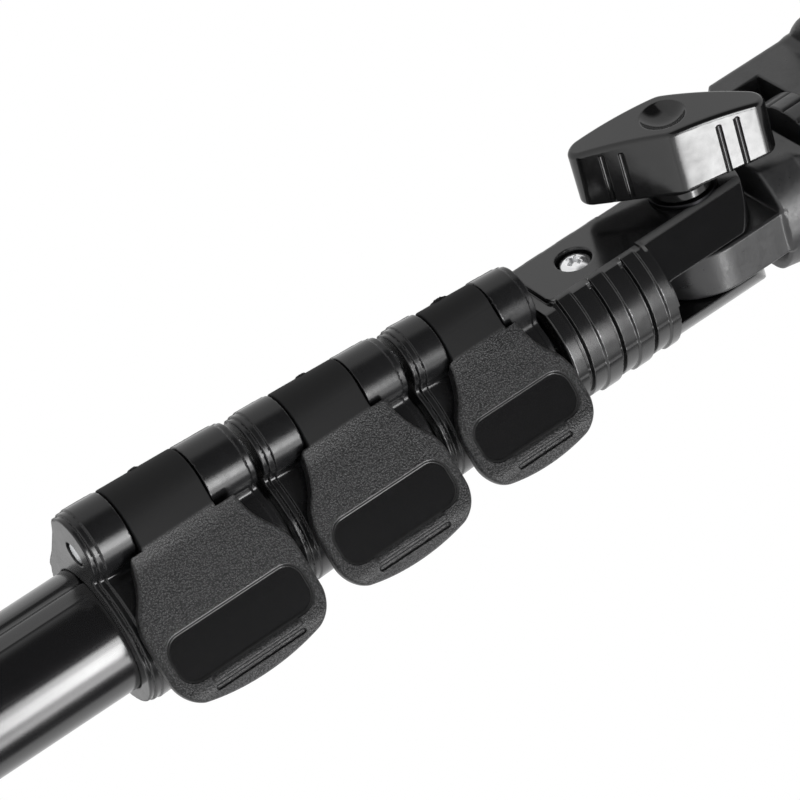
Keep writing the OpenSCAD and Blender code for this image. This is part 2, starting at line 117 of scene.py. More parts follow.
# The skin of a field: one point in each grid cell that the surface crosses, at the mean of the crossings on
# the cell's edges, a quad round each crossed grid edge, then every point drawn onto the surface.
def skin(field, low, high, cell, margin=0):
    cell = np.broadcast_to(cell, 3)
    axes = [np.arange(l - 2 * c, h + 3 * c, c) for l, h, c in zip(low - margin, high + margin, cell)]
    value = field(*np.meshgrid(*axes, indexing="ij", sparse=True))
    cells = np.array(value.shape) - 1
    total = np.zeros((*cells, 3))
    count = np.zeros(cells)
    quads = []
    number = np.full(cells, -1)
    span = [slice(0, -1), slice(1, None)]
    for axis in range(3):
        others = [a for a in range(3) if a != axis]
        for b in (0, 1):
            for c in (0, 1):
                pick = [None] * 3
                pick[others[0]] = span[b]
                pick[others[1]] = span[c]
                pick[axis] = span[0]
                first = value[tuple(pick)]
                pick[axis] = span[1]
                second = value[tuple(pick)]
                crossed = (first < 0) != (second < 0)
                share = np.where(crossed, first / np.where(crossed, first - second, 1), 0)
                total[..., axis] += share
                total[..., others[0]] += b * crossed
                total[..., others[1]] += c * crossed
                count += crossed
    live = count > 0
    number[live] = np.arange(live.sum())
    corner = np.argwhere(live)
    points = np.array([a[0] for a in axes]) + cell * (corner + total[live] / count[live][:, None])
    for axis in range(3):
        others = [(axis + 1) % 3, (axis + 2) % 3]
        first = value[tuple(span[0] if a == axis else slice(None) for a in range(3))] < 0
        second = value[tuple(span[1] if a == axis else slice(None) for a in range(3))] < 0
        at = np.argwhere(first != second)
        flip = first[tuple(at.T)]
        back = np.eye(3, dtype=int)[others]
        ring = np.stack([at - back[0] - back[1], at - back[1], at, at - back[0]], 1)
        quad = number[tuple(ring.reshape(-1, 3).T)].reshape(-1, 4)
        quads.append(np.where(flip[:, None], quad, quad[:, ::-1]))
    faces = np.concatenate(quads)
    edges = np.concatenate([faces[:, [i, (i + 1) % 4]] for i in range(4)])
    size = len(points)
    near = np.bincount(edges[:, 0], minlength=size) + np.bincount(edges[:, 1], minlength=size)
    for evening in (False, True, True):  # the points are spread evenly before the later pulls
        if evening:
            mean = np.stack([np.bincount(edges[:, 0], points[edges[:, 1], a], size)
                             + np.bincount(edges[:, 1], points[edges[:, 0], a], size)
                             for a in range(3)], -1) / near[:, None]
            points = 0.5 * points + 0.5 * mean
        for _ in range(2):
            slope = slopeOf(field, points)
            length = np.maximum((slope ** 2).sum(-1), 0.2)
            move = (field(*points.T) / length)[:, None] * slope
            points = points - np.clip(move, -cell, cell)
    normals = slopeOf(field, points)
    normals /= np.maximum(np.linalg.norm(normals, axis=-1), 1e-6)[:, None]
    return points, faces, normals


# Quads of a grid: rows along a profile, which may close on itself, and columns that run all round it.
def gridFaces(rows, cols, closed):
    r0, c0 = np.meshgrid(np.arange(rows - (not closed)), np.arange(cols), indexing="ij")
    r1, c1 = (r0 + 1) % rows, (c0 + 1) % cols
    return np.stack([r0 * cols + c0, r0 * cols + c1, r1 * cols + c1, r1 * cols + c0], -1).reshape(-1, 4)


# A closed outline whose corners are arcs tangent to both sides, with a point just before and after each arc.
def softOutline(corners, radius, steps=5, lead=0.05):
    corners = np.array(corners, float)
    a = np.roll(corners, 1, 0) - corners
    b = np.roll(corners, -1, 0) - corners
    longA = np.linalg.norm(a, axis=1)
    longB = np.linalg.norm(b, axis=1)
    a /= longA[:, None]
    b /= longB[:, None]
    half = np.arccos(np.clip((a * b).sum(1), -0.9999, 0.9999)) / 2
    reach = np.minimum(np.broadcast_to(radius, half.shape) / np.tan(half), 0.45 * np.minimum(longA, longB))
    r = reach * np.tan(half)
    centre = corners + (a + b) / np.linalg.norm(a + b, axis=1)[:, None] * (r / np.sin(half))[:, None]
    start = corners + a * reach[:, None]
    end = corners + b * reach[:, None]
    turn0 = np.arctan2(*(start - centre).T[::-1])
    sweep = np.arctan2(*(end - centre).T[::-1]) - turn0
    sweep = (sweep + np.pi) % (2 * np.pi) - np.pi
    angle = turn0[:, None] + sweep[:, None] * np.linspace(0, 1, steps)
    arc = centre[:, None] + r[:, None, None] * np.stack([np.cos(angle), np.sin(angle)], -1)
    before = (start + a * lead)[:, None]
    after = (end + b * lead)[:, None]
    return np.concatenate([before, arc, after], 1).reshape(-1, 2)


# A profile of (radius, height) rows turned about Z, the radius changed by ripple(angle, radius, height). A
# hollow profile closes on itself, and a solid one runs from pole to pole.
def turned(profile, steps=96, ripple=None, hollow=True):
    angle = np.linspace(0, 2 * np.pi, steps, endpoint=False)[None, :]
    r = profile[:, :1] + 0 * angle
    z = profile[:, 1:] + 0 * angle
    if ripple:
        r = r + ripple(angle, r, z)
    points = np.stack([r * np.cos(angle), r * np.sin(angle), z], -1).reshape(-1, 3)
    return points, gridFaces(len(profile), steps, hollow)


def layAlongX(points):  # what was turned about Z is turned about the head's tilt line
    return points[:, [2, 0, 1]] + np.array((0, 0, tiltZ))


def carry(piece, name, amount):  # a value at each point, for the piece's finish to read
    value = piece.data.attributes.new(name, "FLOAT", "POINT")
    value.data.foreach_set("value", amount.astype(np.float32))


# A mesh of quads that takes a CAD node's place. With no normals given, edges over a set turn are sharp.
sharpTurn = 35


def makePiece(name, points, faces, finish, node, normals=None):
    mesh = bpy.data.meshes.new(name)
    mesh.vertices.add(len(points))
    mesh.vertices.foreach_set("co", (points * mm).astype(np.float32).ravel())
    mesh.loops.add(faces.size)
    mesh.loops.foreach_set("vertex_index", faces.astype(np.int32).ravel())
    mesh.polygons.add(len(faces))
    mesh.polygons.foreach_set("loop_start", np.arange(0, faces.size, 4, dtype=np.int32))
    mesh.update(calc_edges=True)
    mesh.validate()
    if normals is None:
        work = bmesh.new()
        work.from_mesh(mesh)
        bmesh.ops.remove_doubles(work, verts=work.verts, dist=1e-7)  # closes the poles
        work.to_mesh(mesh)
        work.free()
    mesh.polygons.foreach_set("use_smooth", np.ones(len(mesh.polygons), dtype=bool))
    if normals is None:
        mesh.set_sharp_from_angle(angle=math.radians(sharpTurn))
    else:
        mesh.normals_split_custom_set_from_vertices(normals.astype(np.float32))
    piece = bpy.data.objects.new(name, mesh)
    bpy.context.scene.collection.objects.link(piece)
    mesh.materials.append(finishes[finish])
    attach(piece, bodyOf[node])
    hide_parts(node)
    print("piece:", name, len(mesh.polygons), "faces")
    return piece


# Materials

def linear(code):  # sRGB hex to linear colour
    c = np.array([int(code[i:i + 2], 16) for i in (1, 3, 5)]) / 255
    return (*np.where(c <= 0.04045, c / 12.92, ((c + 0.055) / 1.055) ** 2.4), 1)


def perMm(size):  # a texture scale whose features are about this many millimetres
    return 1 / (size * mm)


def addNode(tree, kind, settings=None, links=None):
    node = tree.nodes.new(kind)
    for key, value in (settings or {}).items():
        if isinstance(key, str) and key in node.bl_rna.properties:
            setattr(node, key, value)
        else:
            node.inputs[key].default_value = value
    for key, source in (links or {}).items():
        tree.links.new(source, node.inputs[key])
    return node


def noise(tree, place, size, detail, **more):  # cloudy values, their features about this many millimetres
    settings = {"Scale": perMm(size), "Detail": detail, **more}
    return addNode(tree, "ShaderNodeTexNoise", settings, {"Vector": place}).outputs["Fac"]


def pebbles(tree, place, size):  # distance from the nearest of scattered points
    cells = addNode(tree, "ShaderNodeTexVoronoi", {"Scale": perMm(size)}, {"Vector": place})
    return cells.outputs["Distance"]


def carried(tree, name):  # a value that the mesh carries at its points
    return addNode(tree, "ShaderNodeAttribute", {"attribute_name": name}).outputs["Fac"]


def reckon(tree, operation, *terms):  # arithmetic on sockets and numbers
    settings = {"operation": operation}
    links = {}
    for i, term in enumerate(terms):
        (links if isinstance(term, bpy.types.NodeSocket) else settings)[i] = term
    return addNode(tree, "ShaderNodeMath", settings, links).outputs[0]


def stretch(tree, value, ends, limits=(0, 1)):  # a value between the limits, laid out between the ends
    settings = {"From Min": limits[0], "From Max": limits[1], "To Min": ends[0], "To Max": ends[1]}
    return addNode(tree, "ShaderNodeMapRange", settings, {"Value": value}).outputs[0]


def blend(tree, share, colour, other):  # two hex colours mixed by share
    settings = {"data_type": "RGBA", 6: linear(colour), 7: linear(other)}
    return addNode(tree, "ShaderNodeMix", settings, {0: share}).outputs[2]


def newFinish(name, constants):
    material = bpy.data.materials.new(name)
    material.use_nodes = True
    tree = material.node_tree
    shader = tree.nodes["Principled BSDF"]
    for key, value in constants.items():
        shader.inputs[key].default_value = value
    finishes[name] = material
    return tree, shader, addNode(tree, "ShaderNodeTexCoord").outputs["Object"]


def feed(tree, shader, colour, rough):
    tree.links.new(colour, shader.inputs["Base Color"])
    tree.links.new(rough, shader.inputs["Roughness"])


def emboss(tree, shader, height, strength, depth):  # bump of this depth in millimetres
    bump = addNode(tree, "ShaderNodeBump", {"Strength": strength, "Distance": depth * mm}, {"Height": height})
    tree.links.new(bump.outputs[0], shader.inputs["Normal"])


# Black anodised aluminium tube, drawn then dyed: deep gloss, streaks softened by faint lines along the draw.
def anodisedTube():
    look = {"colour": "#08080a", "line": 0.16, "lineLong": 60, "cloud": 7, "rough": (0.14, 0.3), "ior": 1.7,
            "relief": 0.12, "depth": 0.01}
    constants = {"Base Color": linear(look["colour"]), "IOR": look["ior"]}
    tree, shader, place = newFinish("anodisedAluminium", constants)
    scale = (perMm(look["line"]), perMm(look["line"]), perMm(look["lineLong"]))
    drawn = addNode(tree, "ShaderNodeMapping", {"Scale": scale}, {"Vector": place}).outputs[0]
    lines = addNode(tree, "ShaderNodeTexNoise", {"Scale": 1, "Detail": 1}, {"Vector": drawn}).outputs["Fac"]
    clouded = reckon(tree, "MULTIPLY", lines, noise(tree, place, look["cloud"], 3))
    tree.links.new(stretch(tree, clouded, look["rough"]), shader.inputs["Roughness"])
    emboss(tree, shader, lines, look["relief"], look["depth"])


absIor = 1.53
wearAndSheen = {"colour": "#585858", "dull": 0.4}


# Black ABS from a polished mould: semi-gloss with cloudy flow marks and a trace of orange peel. Where the
# mesh's worn value is up it is paler and duller: wear at scuffed edges and ribs, and a painted highlight on the
# fork's arm lip.
def mouldedAbs(name, look):
    tree, shader, place = newFinish(name, {"IOR": absIor, "Specular IOR Level": look["gloss"]})
    cloud = noise(tree, place, look["cloud"], 4, Roughness=0.6, Distortion=0.6)
    flow = reckon(tree, "MULTIPLY_ADD", noise(tree, place, look["mark"], 3), 0.5, cloud)
    rough = stretch(tree, flow, look["rough"], (0.5, 1.0))
    tone = blend(tree, cloud, look["colour"], look["pale"])
    wornAndSheen = carried(tree, "wornAndSheen")
    # The pale mix is scuff wear on edges and ribs, and a painted highlight on the fork's arm lip.
    scuffAndSheen = {"data_type": "RGBA", 7: linear(wearAndSheen["colour"])}
    scuffedAndSheened = addNode(tree, "ShaderNodeMix", scuffAndSheen, {0: wornAndSheen, 6: tone})
    feed(tree, shader, scuffedAndSheened.outputs[2], reckon(tree, "MULTIPLY_ADD", wornAndSheen, wearAndSheen["dull"], rough))
    emboss(tree, shader, noise(tree, place, look["peel"], 2), look["bump"], 0.02)


# Lever ABS: a spark-eroded grain that scatters light on the plate, a matt barrel and a smooth dark panel. The
# mesh's grain and matt values say where each is; where the grain value goes above 1, at the lever's lip, it
# paints more pale specks there, a painted highlight. The grain is drawn a little coarser than the real one, so
# that it shows from a step away.
def erodedAbs():
    look = {"colour": "#070708", "grainAndGlowColour": "#464647", "grain": 0.29, "fine": 0.13, "rough": (0.2, 0.36),
            "matt": 0.58, "gloss": 0.34, "speck": (-0.1, 0.5), "relief": 0.8, "depth": 0.06}
    tree, shader, place = newFinish("sparkErodedAbs", {"IOR": absIor, "Specular IOR Level": look["gloss"]})
    where = carried(tree, "grain")
    rise = reckon(tree, "SUBTRACT", noise(tree, place, look["fine"], 1), pebbles(tree, place, look["grain"]))
    # Grain values above 1 at the lever's lip push more specks to the pale colour: a painted highlight.
    speck = reckon(tree, "MULTIPLY", stretch(tree, rise, (0, 1), look["speck"]), where)
    sheen = stretch(tree, where, look["rough"])
    rough = reckon(tree, "MULTIPLY_ADD", carried(tree, "matt"), look["matt"], sheen)
    feed(tree, shader, blend(tree, speck, look["colour"], look["grainAndGlowColour"]), rough)
    emboss(tree, shader, reckon(tree, "MULTIPLY", rise, where), look["relief"], look["depth"])


# Moulded rubber: dull, dark, with a fine leathery nap.
def mouldedRubber():
    look = {"colour": "#1a1a1a", "dust": "#262625", "nap": 0.5, "cloud": 12, "rough": (0.6, 0.85),
            "relief": 0.45, "depth": 0.08}
    tree, shader, place = newFinish("mouldedRubber", {})
    cloud = noise(tree, place, look["cloud"], 4)
    feed(tree, shader, blend(tree, cloud, look["colour"], look["dust"]), stretch(tree, cloud, look["rough"]))
    emboss(tree, shader, pebbles(tree, place, look["nap"]), look["relief"], look["depth"])


# Zinc plate is bright with a faint bloom, black oxide near black with an oily shine, turned brass warm, and
# natural nylon milky and slightly waxy. Each is clouded by the handling it had.
def cloudedFinish(name, look):
    tree, shader, place = newFinish(name, {"Metallic": look["metal"]})
    cloud = noise(tree, place, look["cloud"], look["detail"])
    feed(tree, shader, blend(tree, cloud, look["colour"], look["stain"]), stretch(tree, cloud, look["rough"]))


absLooks = {
    "collarAbs": {"colour": "#171718", "pale": "#1e1e1f", "rough": (0.18, 0.27), "gloss": 0.36,
                  "cloud": 4.5, "mark": 1.1, "peel": 0.7, "bump": 0.3},
    "forkAbs": {"colour": "#111112", "pale": "#161617", "rough": (0.13, 0.2), "gloss": 0.58,
                "cloud": 5.0, "mark": 1.6, "peel": 1.4, "bump": 0.25},
    "blockAbs": {"colour": "#1e1e1f", "pale": "#2c2c2d", "rough": (0.26, 0.46), "gloss": 0.5,
                 "cloud": 3.0, "mark": 0.6, "peel": 0.6, "bump": 0.6},
    "knobAbs": {"colour": "#0b0b0c", "pale": "#101010", "rough": (0.1, 0.2), "gloss": 0.5,
                "cloud": 6.0, "mark": 1.4, "peel": 1.2, "bump": 0.12}}
cloudedLooks = {
    "brightZinc": {"metal": 1, "colour": "#f8f8f8", "stain": "#dcdddf", "rough": (0.1, 0.3),
                   "cloud": 0.5, "detail": 4},
    "zincPlatedSteel": {"metal": 1, "colour": "#c9cbce", "stain": "#aeb0b3", "rough": (0.16, 0.34),
                        "cloud": 1.2, "detail": 4},
    "blackOxideSteel": {"metal": 1, "colour": "#1b1b1d", "stain": "#262627", "rough": (0.28, 0.42),
                        "cloud": 1.5, "detail": 4},
    "turnedBrass": {"metal": 1, "colour": "#c8a455", "stain": "#b08d45", "rough": (0.25, 0.4),
                    "cloud": 2.0, "detail": 4},
    "naturalNylon": {"metal": 0, "colour": "#d9d8d2", "stain": "#e6e5e0", "rough": (0.4, 0.55),
                     "cloud": 3, "detail": 3}}
anodisedTube()
erodedAbs()
mouldedRubber()
for name, look in absLooks.items():
    mouldedAbs(name, look)
for name, look in cloudedLooks.items():
    cloudedFinish(name, look)
print("materials:", len(finishes))

# Camera at the photograph's viewing angle
view = {"right": (0.26034, -0.54695, 0.79566), "up": (-0.75705, 0.39582, 0.51981),
        "back": (-0.59924, -0.73768, -0.31102), "eye": (-393.27, -477.16, 120.02),
        "lens": 180.0, "sensor": 36.0, "clip": 20}
camera = bpy.data.objects.new("camera", bpy.data.cameras.new("camera"))
camera.data.lens = view["lens"]
camera.data.sensor_width = view["sensor"]
camera.data.clip_start = view["clip"] * mm
turn = np.array([view["right"], view["up"], view["back"]]).T
camera.matrix_world = Matrix.Translation(Vector(view["eye"]) * mm) @ Matrix(turn.tolist()).to_4x4()
bpy.context.scene.collection.objects.link(camera)
bpy.context.scene.camera = camera

# Tubes: a drawn wall with a round-lipped groove down the -X side and one faint draw line in front of it.
tubeLook = {"grooveOut": 0.9, "grooveR": 1.6, "wall": 1.0, "lip": 0.3, "edge": 0.25, "lineTurn": 200,
            "lineWide": 0.22, "lineHigh": 0.05, "steps": 360}


def tubePiece(number):
    node = f"tube_{number}"
    low, high = extent(node)
    radius = high[1]
    inner = radius - tubeLook["wall"]
    far = radius + tubeLook["grooveOut"]
    outline = softOutline([(inner, low[2]), (radius, low[2]), (radius, high[2]), (inner, high[2])],
                          tubeLook["edge"])

    # Near the groove the wall sinks by its depth inside a circle that stands outside the tube.
    def groove(angle, r, z):
        away = angle - np.pi
        gap = np.hypot(radius * np.cos(away) - far, radius * np.sin(away)) - tubeLook["grooveR"]
        line = np.exp(-((angle - math.radians(tubeLook["lineTurn"])) * radius / tubeLook["lineWide"]) ** 2)
        return tubeLook["lineHigh"] * line - softDip(gap, tubeLook["lip"])

    points, faces = turned(outline, tubeLook["steps"], groove)
    makePiece(f"tubePiece{number}", points, faces, "anodisedAluminium", node)


tubeR = [extent(f"tube_{number}")[1][1] for number in (1, 2, 3, 4)]
for number in (1, 2, 3, 4):
    tubePiece(number)

# Handle: a rubber sleeve with ring grooves, a ring above it and a cap with a cord eyelet below.
gripLook = {"rings": 14, "ringR": 2.0, "ringOut": 1.0, "lip": 0.4, "edge": 1.2, "rows": 480, "steps": 144,
            "collarFlat": 3.0, "collarTop": 1.2, "collarEdges": (0.1, 0.4, 1.5, 0.3, 0.1)}
capLook = {"cell": 0.4, "edge": 1.6, "lug": 5.0, "lugLow": 0.8, "lugHigh": 9.2, "eyeR": 4.2, "eyeHole": 2.2,
           "eyeZ": 5.0, "spigotWall": 2.4, "spigotFloor": 2.0, "notchR": 2.9}


# The sleeve's radius over its height dips at each ring and rounds off at both ends.
def gripPiece():
    look = gripLook
    low, high = extent("grip_sleeve")
    inner = tubeR[0] + fit
    z = np.linspace(low[2], high[2], look["rows"])
    pitch = (high[2] - low[2]) / (look["rings"] + 1)
    off = (z - low[2] + pitch / 2) % pitch - pitch / 2
    fromEnd = np.minimum(z - low[2], high[2] - z)
    gap = np.hypot(off, look["ringOut"]) - look["ringR"]
    endDrop = look["edge"] - np.sqrt(look["edge"] ** 2 - np.maximum(look["edge"] - fromEnd, 0) ** 2)
    r = high[0] - softDip(gap, look["lip"]) * (fromEnd > pitch / 2) - endDrop
    profile = np.concatenate([np.stack([r, z], -1), [(inner, high[2]), (inner, low[2])]])
    points, faces = turned(profile, look["steps"])
    makePiece("gripPiece", points, faces, "mouldedRubber", "grip_sleeve")


def gripRingPiece():
    look = gripLook
    low, high = extent("grip_ring")
    inner = tubeR[0] + fit
    profile = softOutline([(inner, low[2]), (high[0], low[2]), (high[0], low[2] + look["collarFlat"]),
                           (tubeR[0] + look["collarTop"], high[2]), (inner, high[2])], look["collarEdges"], 8)
    points, faces = turned(profile, look["steps"])
    makePiece("gripRingPiece", points, faces, "collarAbs", "grip_ring")


# The cap is a round with a bevelled lower edge, a spigot into the tube and an eyelet on a lug.
def endCapPiece():
    look = capLook
    low, high = extent("end_cap")
    radius = high[0]
    capTop = extent("grip_sleeve")[0][2]
    spigotR = tubeR[0] - tubeLook["wall"] - fit
    eyeY = high[1] - look["eyeR"]

    def field(x, y, z):
        around = np.hypot(x, y)
        body = rod(around, z, radius, 0, capTop, 0.4)
        body = roundMax(body, (around - radius + look["edge"] - z) * math.sqrt(0.5), 0.8)
        lug = np.maximum(between(y, 0, eyeY), between(z, look["lugLow"], look["lugHigh"]))
        eye = np.hypot(y - eyeY, z - look["eyeZ"]) - look["eyeR"]
        ear = roundMax(np.minimum(lug, eye), np.abs(x) - look["lug"] / 2, 0.7)
        solid = roundMin(body, ear, 0.8)
        solid = roundMin(solid, rod(around, z, spigotR, capTop - 1, high[2], soft), keen)
        solid = cut(solid, np.hypot(y - eyeY, z - look["eyeZ"]) - look["eyeHole"], 0.5)
        well = np.maximum(around - spigotR + look["spigotWall"], capTop + look["spigotFloor"] - z)
        solid = cut(solid, well, plain)
        notch = np.hypot(x + tubeR[0] + tubeLook["grooveOut"], y) - look["notchR"]
        return cut(solid, np.maximum(notch, capTop - z), keen)

    points, faces, normals = skin(field, low, high, look["cell"], margin=0.5)
    makePiece("endCapPiece", points, faces, "collarAbs", "end_cap", normals)


gripPiece()
gripRingPiece()
endCapPiece()

# Lever locks
lockLook = {"cell": (0.285, 0.27, 0.27), "grow": (0.4, 0.35, 0.7), "taper": 1.0, "endIn": (0.9, 0, 0),
            "rim": 0.9, "rimStep": 2.0, "rimIn": 0.55, "rimStepIn": 0.22, "topRim": 1.1, "edge": 0.22,
            "lobe": 6.1, "lobeStep": 0.3, "lobeTaper": 0.2, "lobeOut": 0.9, "lobeOutStep": 0.7,
            "lobeLean": 1.25, "knuckleAt": 0.338, "pocket": 6.65, "pocketStep": 0.88, "pocketIn": 2.0,
            "pocketPlay": 0.1, "barrelIn": 0.35, "barrelShare": 0.215, "clear": (7.3, 6.4, 6.2),
            "seam": 0.35, "webShare": 0.86, "webFront": 2.5, "fillet": 1.4, "backPast": 0.9,
            "backFillet": 0.6, "socket": 0.23, "slide": 0.3, "pinR": 1.95, "pinSeat": 0.16,
            "pinSeatDeep": 1.0, "pinIn": 3.0, "ringSeat": 6.0, "ringWall": 1.5, "padHalf": 3.35,
            "padIn": 1.25}


def lockSizes(k):
    low, high = extent(f"collar_{k + 1}")
    pin = pivot[f"lever_{k + 1}_hinge"][:2]
    reach = np.hypot(*pin)
    size = {"z": low[2], "long": high[2] - low[2], "collarR": high[0], "pin": pin, "reach": reach,
            "along": pin / reach, "tubeR": tubeR[k], "innerR": tubeR[k + 1]}
    size["pocket"] = lockLook["pocket"] - k * lockLook["pocketStep"]
    size["half"] = size["long"] * lockLook["barrelShare"]
    size["mid"] = size["z"] + size["long"] / 2
    size["barrel"] = size["pocket"] - lockLook["barrelIn"]
    return size


# A collar's outline is a tapered round, a hinge lobe that leans in towards the top, and the web between
# them. Two steps draw the outline in at the lower end and one at the upper, and the lever's pocket, the
# tubes' bores and the pin's hole are cut.
def collarPiece(k):
    s = lockSizes(k)
    look = lockLook
    z0 = s["z"] + look["endIn"][k]
    z1 = s["z"] + s["long"]
    layers = [(look["rimStepIn"], z0 + look["rim"]), (look["rimIn"], z0)]

    def field(x, y, z):
        u = x * s["along"][0] + y * s["along"][1]
        v = x * -s["along"][1] + y * s["along"][0]
        fromTube = np.hypot(x, y)
        fromPin = np.hypot(u - s["reach"], v)
        roundR = s["collarR"] + look["grow"][k] - look["taper"] * (z - z0) / s["long"]
        up = 0.5 + (z - s["mid"]) / (2 * look["knuckleAt"] * s["long"])  # lower knuckle 0, upper 1
        lobe = look["lobe"] - look["lobeStep"] * k - look["lobeTaper"] * up
        lobeU = s["reach"] + look["lobeOut"] - look["lobeOutStep"] * k - look["lobeLean"] * up
        web = np.maximum(between(u, s["tubeR"], s["reach"]),
                         between(v, -lobe * look["webShare"], look["webFront"]))
        outline = roundMin(fromTube - roundR, np.hypot(u - lobeU, v) - lobe, look["fillet"])
        outline = roundMin(outline, web, look["fillet"])
        leanSin = (roundR - lobe) / lobeU
        leanCos = np.sqrt(1 - leanSin ** 2)
        past = u * leanCos + v * leanSin  # along the line that touches tube round and lobe at the back
        back = u * leanSin - v * leanCos - roundR
        back = np.maximum(back, between(past, -look["backPast"], lobeU * leanCos + look["backPast"]))
        outline = roundMin(outline, np.maximum(back, v), look["backFillet"])
        solid = roundMax(outline, between(z, z0 + look["rimStep"], z1 - look["topRim"]), look["edge"])
        for inset, base in layers:
            solid = np.minimum(solid, roundMax(outline + inset, between(z, base, z1), look["edge"]))
        away = np.abs(z - s["mid"]) - s["half"]
        free = np.minimum(fromPin - s["pocket"] - look["pocketPlay"], s["reach"] - look["pocketIn"] - u)
        free = np.minimum(free, np.maximum(roundR - fromTube + 0.05, -1 - v))  # all that stands out in front
        solid = cut(solid, np.maximum(free, away - look["seam"]), crisp)
        padSlot = np.maximum(between(u, s["innerR"], s["reach"]), np.abs(v) - look["padHalf"])
        solid = cut(solid, np.maximum(padSlot, away + look["padIn"]), keen)
        socket = np.maximum(fromTube - s["tubeR"] - fit, z - z0 - look["socket"] * s["long"])
        ringSeat = np.maximum(fromTube - s["innerR"] - look["ringWall"], z1 - look["ringSeat"] - z)
        hole = np.minimum(np.minimum(socket, fromTube - s["innerR"] - look["slide"]), ringSeat)
        solid = cut(solid, hole, plain)
        seat = np.maximum(fromPin - look["pinR"] - look["pinSeat"], z - z0 - look["pinSeatDeep"])
        pinHole = np.minimum(np.maximum(fromPin - look["pinR"] - fit, z - z1 + look["pinIn"]), seat)
        return cut(solid, pinHole, 0.12)

    low, high = extent(f"collar_{k + 1}")
    points, faces, normals = skin(field, low, high, look["cell"][k], margin=0.6)
    makePiece(f"collarPiece{k + 1}", points, faces, "collarAbs", f"collar_{k + 1}", normals)


# A lever is a slightly conical barrel on the hinge pin whose crest runs on into a plate. The plate's plan is
# a neck strip and a wide strip behind a flare line, with an arched end. A panel and a groove are sunk in it
# and a ridge stands on it, and a torn gate scar is left on the barrel's back.
leverLook = {"cell": 0.23, "angle": 32, "shift": 0.6, "gap": 0.8, "thick": 2.4, "wide": 14.5,
             "wideStep": 1.55, "end": 18.2, "endStep": 1.0, "neckIn": 4.6, "neckFrom": 4.1,
             "flareFrom": 5.2, "flareSlope": 0.75, "corner": 4.0, "archShare": 2.7, "edge": 0.7,
             "thinEdge": 0.3, "edgeGrow": (3, 9), "cone": 0.3, "crestLong": 7.5, "stripLong": 7.0,
             "panel": 0.4, "panelFrom": 5.1, "panelStep": 0.8, "panelEnd": 5.1, "panelIn": 1.9,
             "panelCorner": 2.9, "panelEdge": 0.36, "panelGrain": 0.1, "ridge": (4.7, 3.5),
             "ridgeHigh": 0.4, "groove": (3.0, 2.2), "grooveDeep": 0.5, "barIn": 6.0, "droop": 1.5,
             "droopLong": 4.0, "lip": (2.6, 1.4), "lipPaintedGlow": 1.2, "releaseTurn": 80, "release": 0.7,
             "grainFrom": 3.9, "grainFade": 0.8, "pinPlay": 0.06, "scarLong": (0.9, 0.9, 1.4),
             "scarHigh": (0.28, 0.25, 0.45), "scarAt": (0.0, 0.2, -0.8), "scarWide": 0.6}


